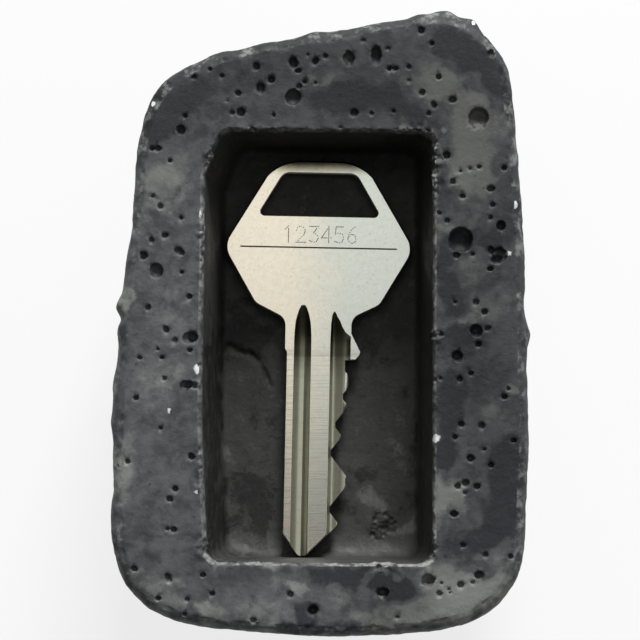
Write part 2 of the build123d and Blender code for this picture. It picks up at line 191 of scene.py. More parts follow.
# Bites out of the pocket's lip, most of them in its crumbled far right corner: pixel and radius.
BITES = [
    (428, 138, 0.5), (423, 134, 0.42), (431, 146, 0.5), (428, 150, 0.36), (425, 144, 0.34),
    (434, 153, 0.34), (436, 172, 0.45), (437, 178, 0.34), (434.5, 164, 0.26), (414, 130, 0.34),
    (405, 126, 0.3), (398, 123, 0.34), (339, 127, 0.42), (270, 131, 0.5), (251, 130, 0.5),
    (275, 122, 0.3), (385, 566, 0.5), (436, 335, 0.45), (441, 332, 0.34), (194, 386, 0.6),
    (199, 366, 0.3), (202, 548, 0.4), (228, 556, 0.45), (246, 560, 0.35), (436, 548, 0.4),
    (424, 560, 0.3), (212, 150, 0.35), (206, 166, 0.4), (199, 232, 0.3), (199.5, 262, 0.25),
    (437, 212, 0.25), (435, 379, 0.3), (340, 563, 0.3), (303, 563, 0.3), (281, 564, 0.35),
]

# Where the lip is crumbled: pixel, half width and half height in millimetres, and how much.
CRUMBLED = [
    (427, 145, 1.5, 2.6, 1.0), (413, 129, 2.6, 0.9, 0.8), (437, 172, 0.8, 2.6, 0.8),
    (436, 335, 1.0, 0.9, 0.8), (196, 385, 0.9, 0.8, 0.8), (225, 555, 3.4, 0.9, 0.8),
    (250, 560, 2.4, 0.8, 0.7), (205, 548, 1.0, 1.6, 0.7), (434, 545, 1.0, 2.0, 0.6),
    (388, 565, 2.4, 0.7, 0.6), (260, 130, 3.6, 0.7, 0.5), (208, 158, 0.9, 2.0, 0.6),
    (200, 470, 0.6, 4.0, 0.5), (200, 245, 0.6, 5.0, 0.4),
]

# Where the lip is rubbed pale: pixel, half width and half height in millimetres, and how much.
RUBBED = [
    (435, 245, 1.2, 13.0, 0.85), (436, 400, 1.0, 12.0, 0.45), (436, 500, 1.0, 6.0, 0.8),
    (428, 150, 1.6, 2.8, 1.0), (436, 180, 1.0, 3.6, 1.0), (410, 128, 3.4, 1.2, 0.9),
    (385, 563, 9.0, 1.0, 0.9), (330, 563, 5.0, 1.0, 0.5), (250, 560, 6.0, 1.6, 0.65),
    (199, 260, 0.9, 9.0, 0.8), (201, 400, 1.0, 6.0, 0.5), (203, 470, 0.9, 10.0, 0.45),
    (240, 129, 4.0, 1.0, 0.6), (320, 129, 10.0, 0.9, 0.5), (206, 165, 1.2, 3.0, 0.6),
]

# ------------------------ small tools
def soft_noise(points, scale, seed):
    """Smooth gradient noise, about -1 to 1, at points in millimetres, with features scale wide."""
    rng = np.random.default_rng(seed)
    order = rng.permutation(256)
    slopes = rng.normal(size=(256, 3))
    slopes /= np.linalg.norm(slopes, axis=1)[:, None]
    grid = points / scale + rng.uniform(0, 90, 3)
    cell = np.floor(grid).astype(int)
    part = grid - cell
    ease = part ** 3 * (part * (part * 6 - 15) + 10)
    total = np.zeros(len(points))
    for corner in itertools.product((0, 1), repeat=3):
        at = (cell + corner) & 255
        pick = order[(order[(order[at[:, 0]] + at[:, 1]) & 255] + at[:, 2]) & 255]
        weight = np.prod(np.where(corner, ease, 1 - ease), axis=1)
        total += weight * np.einsum("ij,ij->i", slopes[pick], part - corner)
    return total * 1.7


def layered(points, scale, layers, seed):
    """Noise with finer layers added, each half as wide and half as strong as the last."""
    return sum(soft_noise(points, scale / 2 ** i, seed + i) / 2 ** i for i in range(layers))


def smooth(low, high, value):
    """0 below low, 1 above high, and an even ramp with soft ends between."""
    t = np.clip((value - low) / (high - low), 0, 1)
    return t * t * (3 - 2 * t)


def positions(mesh):
    """A mesh's vertices as an array in millimetres."""
    flat = np.empty(len(mesh.vertices) * 3, np.float32)
    mesh.vertices.foreach_get("co", flat)
    return flat.reshape(-1, 3).astype(float) / MM


def normals(mesh):
    """A mesh's vertex normals as an array."""
    flat = np.empty(len(mesh.vertices) * 3, np.float32)
    mesh.vertex_normals.foreach_get("vector", flat)
    return flat.reshape(-1, 3).astype(float)


def place(mesh, points):
    """Moves a mesh's vertices to points in millimetres."""
    mesh.vertices.foreach_set("co", (points * MM).astype(np.float32).ravel())
    mesh.update()


def keep(mesh, name, values):
    """Stores one number a vertex, for a material to read."""
    layer = mesh.attributes.new(name, "FLOAT", "POINT")
    layer.data.foreach_set("value", np.asarray(values, np.float32))


def added(name, data):
    """A new object in the scene."""
    thing = bpy.data.objects.new(name, data)
    bpy.context.scene.collection.objects.link(thing)
    return thing


def opened(mesh):
    """A mesh opened for edits."""
    shape = bmesh.new()
    shape.from_mesh(mesh)
    return shape


def closed(shape, mesh):
    """Writes the edits to a mesh, and gives that mesh."""
    shape.to_mesh(mesh)
    shape.free()
    return mesh


def with_modifier(mesh, kind, **settings):
    """A new mesh: this one with one modifier applied."""
    scratch = added("scratch", mesh)
    modifier = scratch.modifiers.new("step", kind)
    for name, value in settings.items():
        setattr(modifier, name, value)
    shape = scratch.evaluated_get(bpy.context.evaluated_depsgraph_get())
    made = bpy.data.meshes.new_from_object(shape)
    bpy.data.objects.remove(scratch)
    return made


# ------------------------ the casting's shape
VOXEL = 0.3            # the casting's mesh, before it is made finer round its pits and its lip
PIT_MARGIN = 0.3       # how far round a pit the mesh is finer
PIT_REACH = 2.2        # how far below the base face a point can be and still be sunk by a pit
LIP_REACH = 1.3        # how far the worn lip goes down from the base face
RELAID = 2.0           # how far down points are laid back onto the CAD solid
MOST_TRIANGLES = 196000
POCKET_LOW = (-17.3, -34.4, 15.0)     # the left, near and lower limits of the pocket
POCKET_HIGH = (17.3, 27.9)            # the right and far ones
SHALLOW_PITS = {(477, 117), (361, 39), (386, 47), (407, 79), (181, 342)}
SHALLOW_DEPTH = 0.6                   # of their radius


def turned(points, u, v, stretch, turn, below=0.0):
    """Distance of points from a pixel's place, with its tall axis shortened, in millimetres."""
    x, y = from_photo(u, v, below)
    angle = math.radians(turn)
    dx, dy = points[:, 0] - x, points[:, 1] - y
    across = dx * math.cos(angle) + dy * math.sin(angle)
    along = dy * math.cos(angle) - dx * math.sin(angle)
    return np.hypot(across, along / stretch)


def finer_near(mesh, wanted):
    """Splits the mesh's faces that have a wanted vertex."""
    shape = opened(mesh)
    faces = [face for face in shape.faces if any(wanted[v.index] for v in face.verts)]
    edges = list(dict.fromkeys(edge for face in faces for edge in face.edges))
    bmesh.ops.subdivide_edges(shape, edges=edges, cuts=1, use_grid_fill=True)
    closed(shape, mesh)


def near_detail(points, facing):
    """Which points are in or just round a pit of the base face, or on the lip round the face."""
    near = (facing[:, 2] < 0.97) & (facing[:, 2] > 0.05) & (points[:, 2] > BASE_FACE - LIP_REACH)
    for u, v, radius, stretch, turn in PITS:
        near |= turned(points, u, v, stretch, turn) < radius + PIT_MARGIN
    near &= points[:, 2] > BASE_FACE - PIT_REACH
    u, v, wide, high, _ = FLOOR_BUBBLES
    cluster = turned(points, u, v, high / wide, 0, FLOOR_LEVEL) < wide + 0.5
    return near | (cluster & in_pocket(points))


def laid_on_solid(points, solid):
    """Points near the base face, moved onto the nearest place of the CAD solid."""
    corners = positions(solid)
    solid.calc_loop_triangles()
    triangles = [tuple(triangle.vertices) for triangle in solid.loop_triangles]
    tree = BVHTree.FromPolygons([Vector(corner) for corner in corners], triangles)
    for index in np.nonzero(points[:, 2] > BASE_FACE - RELAID)[0]:
        points[index] = tree.find_nearest(Vector(points[index]))[0]
    return points


def in_pocket(points):
    """Which points are on the pocket's walls and floor, below its lip."""
    (left, near, floor), (right, far) = POCKET_LOW, POCKET_HIGH
    return ((points[:, 0] > left) & (points[:, 0] < right) & (points[:, 1] > near) & (points[:, 1] < far)
            & (points[:, 2] > floor) & (points[:, 2] < BASE_FACE - 0.4))


def lip(points, facing):
    """How much each point is on the lip round the base face, inside or outside, 0 to 1."""
    level = smooth(BASE_FACE - 1.5, BASE_FACE - 0.9, points[:, 2])
    lean = smooth(0.985, 0.93, facing[:, 2]) * smooth(0.0, 0.2, facing[:, 2])
    return level * lean


def shape_stone(points, facing):
    """The casting's uneven skin: how far each point is pushed out along its normal."""
    pocket = in_pocket(points)
    on_face = smooth(BASE_FACE - 1.2, BASE_FACE - 0.3, points[:, 2])
    lower = smooth(26.0, 12.0, points[:, 2])
    resting = smooth(1.6, 0.2, points[:, 2])

    broad = layered(points, 13.0, 2, 11) * (0.10 + 0.42 * lower) - 0.15 * lower
    knobbly = layered(points, 3.2, 3, 21) * (0.12 + 0.24 * lower)
    push = np.where(pocket, layered(points, 5.0, 3, 41) * 0.07, (broad + knobbly) * (1 - on_face))
    push += on_face * layered(points, 6.0, 3, 51) * 0.03
    push += layered(points, 1.1, 2, 31) * 0.035
    push += lip(points, facing) * (layered(points, 1.8, 3, 61) * 0.13 - 0.02)
    push += patch_field(points, CRUMBLED) * layered(points, 0.9, 3, 111) * 0.4 * (points[:, 2] > 30)
    for u, v, radius in BITES:
        x, y = from_photo(u, v)
        away = np.linalg.norm((points - (x, y, BASE_FACE - 0.3)) * (1, 1, 0.7), axis=1) / radius
        push -= 0.8 * radius * smooth(1.15, 0.3, away)
    return push * (1 - resting)


def cut_pits(points):
    """Sinks the bowls of the burst bubbles into the base face. Returns how deep each point is sunk."""
    start = points[:, 2].copy()
    on_face = start > BASE_FACE - PIT_REACH
    warp = layered(points, 0.8, 2, 71)
    for number, (u, v, radius, stretch, turn) in enumerate(PITS):
        ragged = 0.10 + 0.16 * (number % 4 == 1)
        near = turned(points, u, v, stretch, turn) / radius + warp * ragged * min(1.0, 0.7 / radius)
        depth = radius * (1.0 if radius > 0.9 else 1.75 - 0.3 * (number % 3))
        bowl = np.sqrt(np.clip(1 - near ** 2, 0, 1)) * depth
        if (u, v) in SHALLOW_PITS:
            bowl = np.sqrt(np.clip(1 - near ** 4, 0, 1)) * SHALLOW_DEPTH * radius
        sunk = BASE_FACE - bowl
        points[:, 2] = np.where(on_face & (near < 1), np.minimum(points[:, 2], sunk), points[:, 2])
    return start - points[:, 2]


def mark_floor(points):
    """Sinks the cluster of small bubbles and the crack into the pocket's floor."""
    on_floor = in_pocket(points) & (points[:, 2] < BASE_FACE - FLOOR_LEVEL + 3)
    u, v, wide, high, count = FLOOR_BUBBLES
    x, y = from_photo(u, v, FLOOR_LEVEL)
    chance = random.Random(5)
    drop = np.zeros(len(points))
    for _ in range(count):
        around, out = chance.uniform(0, 2 * math.pi), math.sqrt(chance.random())
        at = (x + wide * out * math.cos(around), y + high * out * math.sin(around))
        radius = chance.uniform(0.2, 0.5)
        near = np.hypot(points[:, 0] - at[0], points[:, 1] - at[1]) / radius
        drop = np.maximum(drop, np.sqrt(np.clip(1 - near ** 2, 0, 1)) * radius * 0.55)
    corners = [np.array(from_photo(*corner, FLOOR_LEVEL)) for corner in CRACK]
    wobble = layered(points, 1.3, 2, 121) * 0.3
    away = np.full(len(points), 9.0)
    for start, end in zip(corners, corners[1:]):
        along = (points[:, :2] - start) @ (end - start) / np.sum((end - start) ** 2)
        nearest = start + np.clip(along, 0, 1)[:, None] * (end - start)
        away = np.minimum(away, np.linalg.norm(points[:, :2] - nearest, axis=1))
    drop = np.maximum(drop, 0.5 * smooth(0.5, 0.1, away + wobble))
    points[:, 2] -= np.where(on_floor, drop, 0)


def lump_outline(points, facing):
    """Moves the rock's edge out or in at the lumps and steps that show from above."""
    sideways = facing * (1, 1, 0)
    sideways /= np.maximum(np.linalg.norm(sideways, axis=1), 1e-6)[:, None]
    fading = points[:, 2] + layered(points, 4.0, 2, 141) * 3.0
    reach = smooth(0.95, 0.5, facing[:, 2]) * smooth(20, 31, fading) * ~in_pocket(points)
    for u, v, width, out in OUTLINE_LUMPS:
        away = turned(points, u, v, 1, 0)
        points += sideways * (reach * out * np.exp(-(away / width) ** 2))[:, None]


def patch_tones(points, patches, below=0.0):
    """The tone of the stone at each point, from a list of patches."""
    tone = np.zeros(len(points))
    warp_x = layered(points, 2.6, 3, 81) * 0.9
    warp_y = layered(points, 2.6, 3, 91) * 0.9
    moved = points + np.stack([warp_x, warp_y, warp_x * 0], axis=1)
    for u, v, wide, high, turn, strength in patches:
        near = turned(moved, u, v, high / wide, turn, below) / wide
        tone += strength * smooth(1.25, 0.7, near) * (1 - np.abs(tone) * 0.4)
    return np.clip(tone, -1, 1)


def broad_shade(points, facing):
    """How much brighter the stone is at each point, in doublings. The slopes of its far edge, which face
    the main lamp, are darkened as painted shade.
    """
    shade = np.zeros(len(points))
    for u, v, wide, high, turn, strength in SHADES:
        shade += strength * np.exp(-(turned(points, u, v, high / wide, turn) / wide) ** 2)
    # Painted shade: the upper slopes that face +Y, towards the main lamp, are darkened.
    return shade - 1.2 * smooth(0.08, 0.5, facing[:, 1]) * smooth(24, 30, points[:, 2])


def patch_field(points, places):
    """1 in the places given as (pixel u, v, half width, half height, strength), and 0 away from them."""
    field = np.zeros(len(points))
    for u, v, wide, high, strength in places:
        field = np.maximum(field, strength * smooth(1.3, 0.75, turned(points, u, v, high / wide, 0) / wide))
    return field


def make_casting():
    """The casting, as one mesh in place of the CAD solid."""
    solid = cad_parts["rock_body"].data
    mesh = with_modifier(solid, "REMESH", mode="VOXEL", voxel_size=VOXEL * MM)
    finer_near(mesh, near_detail(positions(mesh), normals(mesh)))
    place(mesh, laid_on_solid(positions(mesh), solid))
    points, facing = positions(mesh), normals(mesh)
    lips = lip(points, facing)
    tones = patch_tones(points, PATCHES)
    floor_tone_and_shade = patch_tones(points, FLOOR_PATCHES, FLOOR_LEVEL)
    shade = broad_shade(points, facing)
    chips = patch_field(points, [(*chip, 1.0) for chip in CHIPS])
    rubbed = lips * patch_field(points, RUBBED)
    # Where the outer lip gets its painted highlight.
    outer_lip_highlight = lips * (np.hypot(points[:, 0] / 29, points[:, 1] / 44) > 0.86)
    lump_outline(points, facing)
    points += facing * shape_stone(points, facing)[:, None]
    sunk = cut_pits(points)
    mark_floor(points)
    place(mesh, points)
    top = smooth(BASE_FACE - 4.0, BASE_FACE - 1.0, points[:, 2])
    keep(mesh, "tone", tones * top + layered(points, 8.0, 3, 131) * (1 - top) * ~in_pocket(points))
    keep(mesh, "floor_tone_and_shade", floor_tone_and_shade)
    keep(mesh, "shade", shade)
    keep(mesh, "chip", chips * top)
    keep(mesh, "rubbed", rubbed)
    keep(mesh, "outer_lip_highlight", outer_lip_highlight)
    # How deep a pit sinks each point, which the stone's colour uses for painted shade.
    keep(mesh, "sunk", smooth(0.02, 0.4, sunk))
    keep(mesh, "inside", in_pocket(points) * smooth(BASE_FACE - 0.6, BASE_FACE - 2.5, points[:, 2]))
    mesh.calc_loop_triangles()
    count = len(mesh.loop_triangles)
    mesh = with_modifier(mesh, "DECIMATE", ratio=min(1.0, MOST_TRIANGLES / count))
    mesh.name = "rock_casting"
    for face in mesh.polygons:
        face.use_smooth = True
    return added("rock_casting", mesh)


# ------------------------ materials
SHADE_BROWN = (1.0, 0.95, 0.74, 1.0)   # the brown-gold tint of the painted shade at the top of the bow and at the grooves' upper ends


def wired(tree, kind, inputs, **settings):
    """A new node with its settings, and with its inputs linked or set to plain values."""
    node = tree.nodes.new("ShaderNode" + kind)
    for name, value in settings.items():
        setattr(node, name, value)
    for name, value in inputs.items():
        if isinstance(value, bpy.types.NodeSocket):
            tree.links.new(value, node.inputs[name])
        else:
            node.inputs[name].default_value = value
    return node


def cleared(owner):
    """The empty node tree of a material or a world."""
    owner.use_nodes = True
    owner.node_tree.nodes.clear()
    return owner.node_tree


class Wiring:
    """A material's nodes, added one at a time. Each call gives the new node's main output."""

    def __init__(self, name):
        self.material = bpy.data.materials.new(name)
        self.tree = cleared(self.material)
        where = wired(self.tree, "TexCoord", {}).outputs["Object"]
        self.place = self.stretched(where, (1 / MM, 1 / MM, 1 / MM))

    def stretched(self, vector, scale):
        return wired(self.tree, "Mapping", {"Vector": vector, "Scale": scale}).outputs[0]

    def noise(self, size, detail=3.0, rough=0.55, vector=None, distortion=0.0, kind="FBM", output="Fac"):
        """Noise from 0 to 1 with features about size millimetres wide."""
        inputs = {"Vector": vector or self.place, "Scale": 1 / size, "Detail": detail, "Roughness": rough}
        inputs["Distortion"] = distortion
        return wired(self.tree, "TexNoise", inputs, noise_type=kind, normalize=True).outputs[output]

    def cells(self, size):
        """Distance from the middle of the nearest of many cells about size millimetres wide."""
        return wired(self.tree, "TexVoronoi", {"Vector": self.place, "Scale": 1 / size}).outputs["Distance"]

    def shifted(self, vector, by, reach):
        """A vector moved by a colour's difference from grey."""
        away = wired(self.tree, "VectorMath", {0: by, 1: (0.5, 0.5, 0.5)}, operation="SUBTRACT").outputs[0]
        inputs = {0: away, 1: (reach, reach, reach), 2: vector}
        return wired(self.tree, "VectorMath", inputs, operation="MULTIPLY_ADD").outputs[0]

    def axis(self, name):
        """Where a point is along one of the frame's axes, in millimetres."""
        return wired(self.tree, "SeparateXYZ", {0: self.place}).outputs[name]

    def stored(self, name):
        """A number that was stored at each vertex."""
        return wired(self.tree, "Attribute", {}, attribute_name=name).outputs["Fac"]

    def remap(self, value, low, high, to_low=0.0, to_high=1.0):
        """to_low where the value is low, to_high where it is high, and a soft ramp between."""
        inputs = dict(enumerate((value, low, high, to_low, to_high)))
        return wired(self.tree, "MapRange", inputs, interpolation_type="SMOOTHSTEP").outputs[0]

    def maths(self, kind, first, second=0.0):
        return wired(self.tree, "Math", {0: first, 1: second}, operation=kind).outputs[0]

    def times(self, first, second):
        return self.maths("MULTIPLY", first, second)

    def swing(self, value, reach):
        """A value from 0 to 1 as one from minus to plus half the reach."""
        return self.times(self.maths("SUBTRACT", value, 0.5), reach)

    def blend(self, share, first, second):
        """The first colour where share is 0 and the second where it is 1."""
        inputs = {"Factor": share, "A": first, "B": second}
        return wired(self.tree, "Mix", inputs, data_type="RGBA").outputs["Result"]

    def scaled(self, colour, share):
        """A colour made brighter or darker."""
        return wired(self.tree, "VectorMath", {0: colour, "Scale": share}, operation="SCALE").outputs[0]

    def bumps(self, height, distance, strength):
        """Raises the surface by height times distance in millimetres."""
        inputs = {"Height": height, "Distance": distance * MM, "Strength": strength}
        return wired(self.tree, "Bump", inputs).outputs[0]

    def finished(self, **sockets):
        """The material, with its shader's sockets set. Their names have _ for each space."""
        inputs = {name.replace("_", " "): value for name, value in sockets.items()}
        shader = wired(self.tree, "BsdfPrincipled", inputs)
        wired(self.tree, "OutputMaterial", {"Surface": shader.outputs[0]})
        return self.material


def grey(red, green, blue):
    """A colour from the 0 to 255 numbers of a screen, as the shader's light values."""
    def light(level):
        level /= 255
        return level / 12.92 if level <= 0.04045 else ((level + 0.055) / 1.055) ** 2.4
    return light(red), light(green), light(blue), 1.0


def stone_material():
    """Dark stone-filled resin: mottled greys with chalky wisps, worn pale on the pocket's lip and darker
    inside.
    Its pits and dark specks carry painted shade, its outer lip a painted highlight, and the pocket's floor
    painted shadow and painted shade.
    """
    w = Wiring("cast_stone_mottled")
    swirled = w.shifted(w.place, w.noise(3.5, 3.0, output="Color"), 3.0)
    broad = w.noise(6.0, 5.0, 0.62, distortion=0.5)
    middling = w.noise(1.9, 5.0, 0.58, vector=swirled)
    wisps = w.noise(2.6, 6.0, 0.7, vector=swirled, kind="RIDGED_MULTIFRACTAL")
    fine = w.noise(0.42, 4.0, 0.7)
    mottle = w.maths("ADD", w.times(broad, 0.55), w.times(middling, 0.45))
    ragged = w.swing(middling, 1.25)
    tone = w.maths("ADD", w.times(w.stored("tone"), 1.1), ragged)

    base = w.blend(w.remap(mottle, 0.37, 0.63), grey(60, 62, 64), grey(86, 88, 90))
    dark = w.blend(w.remap(tone, 0.0, -0.75), base, grey(42, 44, 49))
    pale = w.blend(w.remap(tone, 0.15, 1.1, 0.0, 0.9), dark, grey(124, 126, 123))
    chalked = w.blend(w.remap(wisps, 0.66, 0.95, 0.0, 0.45), pale, grey(158, 160, 160))
    sandy = w.blend(w.remap(fine, 0.58, 0.76, 0.0, 0.16), chalked, grey(134, 135, 133))
    dusted = w.blend(w.remap(fine, 0.40, 0.28, 0.0, 0.22), sandy, grey(33, 34, 36))
    # Painted shade: sparse dark specks stand in for the shade in tiny pits.
    tiny_pit_shade = w.times(w.remap(w.cells(1.5), 0.16, 0.08), w.remap(w.noise(5.0, 2.0), 0.48, 0.6))
    tiny_pits_shaded = w.blend(w.times(tiny_pit_shade, 0.55), dusted, grey(24, 25, 26))
    # The stored shade: broad differences in brightness, and painted shade on the upper slopes that face the
    # main lamp.
    shaded = w.scaled(tiny_pits_shaded, w.maths("POWER", 2.0, w.stored("shade")))

    # The pocket's inside: the stored floor tones, which hold the floor's own mottling and its painted
    # shadow and painted shade, with blotches and grain.
    blotches = w.noise(3.0, 7.0, 0.76, distortion=0.3)
    floor_mottle_and_shade = w.maths("ADD", w.stored("floor_tone_and_shade"), w.swing(blotches, 4.2))
    floor_tone_and_shade = w.blend(w.remap(floor_mottle_and_shade, -0.1, -0.9), grey(57, 57, 56), grey(26, 26, 26))
    dusty = w.blend(w.remap(floor_mottle_and_shade, 0.2, 1.2), floor_tone_and_shade, grey(98, 98, 95))
    pocket_colour = w.blend(w.remap(fine, 0.55, 0.80, 0.0, 0.22), dusty, grey(112, 111, 108))
    pocket_colour = w.blend(w.remap(fine, 0.40, 0.28, 0.0, 0.5), pocket_colour, grey(22, 22, 22))
    inside = w.blend(w.stored("inside"), shaded, pocket_colour)

    patchy = w.remap(w.noise(1.0, 4.0, 0.6), 0.38, 0.62)
    # Painted highlight: the outer lip round the base face is painted paler in patches.
    outer = w.times(w.stored("outer_lip_highlight"), w.remap(w.noise(2.4, 4.0, 0.65), 0.50, 0.68, 0.0, 0.6))
    lip_highlighted = w.blend(outer, inside, grey(150, 152, 149))
    rubbed = w.times(w.stored("rubbed"), w.maths("ADD", w.times(patchy, 0.75), 0.1))
    lipped = w.blend(rubbed, lip_highlighted, grey(158, 159, 156))
    # Painted shade: the pits are darker the deeper they are sunk.
    pits_shaded = w.blend(w.times(w.stored("sunk"), 0.4), lipped, grey(48, 49, 51))
    colour = w.blend(w.remap(w.stored("chip"), 0.35, 0.75), pits_shaded, grey(222, 225, 226))

    skin = w.maths("ADD", w.times(w.noise(0.8, 5.0, 0.6), 0.7), w.times(fine, 0.3))
    return w.finished(
        Base_Color=colour,
        Roughness=w.remap(mottle, 0.3, 0.7, 0.5, 0.75),
        Specular_IOR_Level=0.4,
        Normal=w.bumps(skin, 0.13, 0.8),
    )


def nickel_material(name, warm, cool, metallic, roughness, marks_strength, shade_span):
    """Nickel: satin, warmer to the left, with faint cutter marks across the blade and small scuffs. Along
    the key it is darkened and tinted brown-gold as painted shade, from the first place of shade_span to the
    second, to the third number's share, and it is a little darker in a band across the blade."""
    w = Wiring(name)
    x, y = w.axis("X"), w.axis("Y")
    drift = w.maths("ADD", x, w.swing(w.noise(7.0, 2.0), 9.0))
    mottle = w.noise(0.9, 5.0, 0.62)
    scuffs = w.noise(0.35, 2.0, 0.7)
    across = w.noise(0.24, 2.0, 0.5, vector=w.stretched(w.place, (0.03, 1.0, 0.3)))
    marks = w.times(w.remap(y, -1.0, -3.5), marks_strength)
    tint = w.blend(w.remap(drift, -6.0, 4.0), warm, cool)
    duller = tuple(0.6 * c for c in warm[:3]) + (1.0,)
    clouded = w.blend(w.remap(mottle, 0.35, 0.7, 0.0, 0.12), tint, duller)
    stained = w.blend(w.remap(scuffs, 0.60, 0.76, 0.0, 0.4), clouded, duller)
    streaked = w.blend(w.times(w.remap(across, 0.52, 0.72), marks), stained, duller)
    # Painted shade: over the span given, the colour is darkened and tinted brown-gold.
    start, end, least = shade_span
    drifting = w.swing(mottle, 0.04 * (end - start) + 0.4)
    along = w.remap(w.maths("ADD", y, drifting), start, end)
    narrowed = w.times(along, w.remap(w.maths("ABSOLUTE", x), 8.4, 5.2))
    step = w.times(w.remap(y, -4.25, -4.05), w.remap(y, -2.6, -3.9, 0.0, 0.13))
    darkening = w.maths("ADD", w.times(narrowed, 1 - least), step)
    browned = w.blend(w.times(narrowed, 0.7), streaked, tuple(c * t for c, t in zip(warm, SHADE_BROWN)))
    height = w.maths("ADD", w.times(across, marks), w.times(mottle, 0.12))
    return w.finished(
        Base_Color=w.scaled(browned, w.maths("SUBTRACT", 1.0, darkening)),
        Metallic=metallic,
        Roughness=w.remap(scuffs, 0.4, 0.75, roughness, roughness + 0.03),
        Normal=w.bumps(height, 0.01, 0.5),
    )


# ------------------------ the key
# The key is made in its own frame: the bow's side corners are on Y = 0, the tip points along -Y, and the
# shown face is up. KEY_PLACE, KEY_TILT and KEY_TURN lay it in the pocket as the CAD does.
KEY_PLACE = (-0.607, 11.650, 16.474)
KEY_TILT = -1.596
KEY_TURN = -0.66
KEY_TOP = 2.2
SECTION_LEVEL = 1.2     # between the grooves of the upper and lower face
EDGE_RADIUS = 0.38      # of the tumbled edges round the bow
CROWN_CENTRE = (2.66, 5.7)
CROWN_RADIUS = 7.0      # of the corners at the top of the bow
BLADE_RADIUS = 0.16     # of the edges along the blade and its cuts
EDGE_STEPS = 6
CLEAR = 0.02            # how far the rounding tool stands off the key's flat faces
SAME_PLACE = 0.0005     # corners of the CAD mesh that are nearer than this are one
FLAT_ANGLE = math.radians(0.5)
SHARP_ANGLE = math.radians(38)
GROOVES = ((-3.32, -0.73), (1.95, 4.96))   # where the milled grooves are, from side to side
GROOVES_END = -7.5
SCORE_HALF_WIDTH = 0.16
SCORE_HALF_LENGTH = 11.5
MARKS_LEVEL = 1.98      # the number's marks and the scored line are no deeper

# The number: each digit's stroke in a cell one wide and one high, then its place and size in millimetres.
NUMBER = "123456"
STROKES = {
    "1": [(0.2, 0.8), (0.55, 1.0), (0.55, 0.0)],
    "2": [(0.05, 0.75), (0.2, 0.95), (0.5, 1.0), (0.85, 0.9), (0.95, 0.7), (0.8, 0.45), (0.05, 0.0),
          (1.0, 0.0)],
    "3": [(0.1, 1.0), (0.95, 1.0), (0.5, 0.6), (0.85, 0.5), (0.97, 0.28), (0.8, 0.06), (0.45, 0.0),
          (0.08, 0.12)],
    "4": [(0.75, 0.0), (0.75, 1.0), (0.02, 0.3), (1.0, 0.3)],
    "5": [(0.9, 1.0), (0.18, 1.0), (0.12, 0.56), (0.5, 0.63), (0.85, 0.52), (0.97, 0.3), (0.8, 0.06),
          (0.45, 0.0), (0.08, 0.1)],
    "6": [(0.8, 1.0), (0.4, 0.8), (0.12, 0.45), (0.1, 0.2), (0.3, 0.02), (0.6, 0.0), (0.88, 0.12),
          (0.92, 0.35), (0.7, 0.53), (0.4, 0.53), (0.12, 0.38)],
}
NUMBER_LEFT = -5.2
NUMBER_FOOT = 0.75
DIGIT_WIDTH = 1.42
DIGIT_HEIGHT = 2.35
DIGIT_PITCH = 1.86
PUNCH_RADIUS = 0.088
PUNCH_DEPTH = 0.10
PUNCH_STEP = 0.2
NUMBER_FIELD = (-5.65, 6.05, 0.42, 3.52)   # its left, right, lower and upper limits
SQUARE_WIDTH = 0.3
SQUARE_HEIGHT = 0.31

SATIN, MILLED, DARK = range(3)   # the key's material slots


def key_to_row():
    """The matrix that lays the key, in millimetres, where the CAD has it, in metres."""
    turn = Matrix.Rotation(math.radians(KEY_TURN), 4, "Z") @ Matrix.Rotation(math.radians(KEY_TILT), 4, "X")
    return Matrix.Scale(MM, 4) @ Matrix.Translation(KEY_PLACE) @ turn


def section_loops(mesh, level):
    """The closed outlines of a mesh at one height, outer ones counter-clockwise, as lists of (X, Y)."""
    shape = opened(mesh)
    cut = bmesh.ops.bisect_plane(
        shape, geom=shape.verts[:] + shape.edges[:] + shape.faces[:], plane_co=(0, 0, level),
        plane_no=(0, 0, 1), clear_inner=True, clear_outer=True)
    edges = dict.fromkeys(edge for edge in cut["geom_cut"] if isinstance(edge, bmesh.types.BMEdge))
    loops = []
    while edges:
        edge, _ = edges.popitem()
        first, here = edge.verts
        loop = [first.co.xy.copy()]
        while here is not first:
            loop.append(here.co.xy.copy())
            edge = next(other for other in here.link_edges if other in edges)
            del edges[edge]
            here = edge.other_vert(here)
        loops.append(loop)
    shape.free()
    return loops


def spread_out(loop, least, flat=0.02):
    """A loop without points that are nearer than least to the last one kept, or on a straight run."""
    points = [point for point, before in zip(loop, loop[-1:] + loop[:-1]) if (point - before).length > 1e-4]
    kept = []
    for point in points:
        if not kept or (point - kept[-1]).length > least:
            kept.append(point)
    steps = [point - before for point, before in zip(kept, kept[-1:] + kept[:-1])]
    return [point for point, step, after in zip(kept, steps, steps[1:] + steps[:1])
            if step.angle(after, 0) > flat or step.length > 3]


def signed_area(loop):
    return sum(p.cross(loop[(i + 1) % len(loop)]) for i, p in enumerate(loop)) / 2


def inward(loop, solid_inside):
    """Each point's step into the metal, with the step lengthened at corners."""
    side = 1 if (signed_area(loop) > 0) == solid_inside else -1
    steps = []
    for i, point in enumerate(loop):
        before = (point - loop[i - 1]).normalized()
        after = (loop[(i + 1) % len(loop)] - point).normalized()
        middle = (before.orthogonal() + after.orthogonal()) * side
        middle.normalize()
        steps.append(middle / max(0.6, abs(middle.dot(before.orthogonal()))))
    return steps


def edge_radius(point):
    """How far the key's rounded edge reaches in, at a place of its outline."""
    return EDGE_RADIUS + (BLADE_RADIUS - EDGE_RADIUS) * smooth(-9.0, -13.5, point.y)


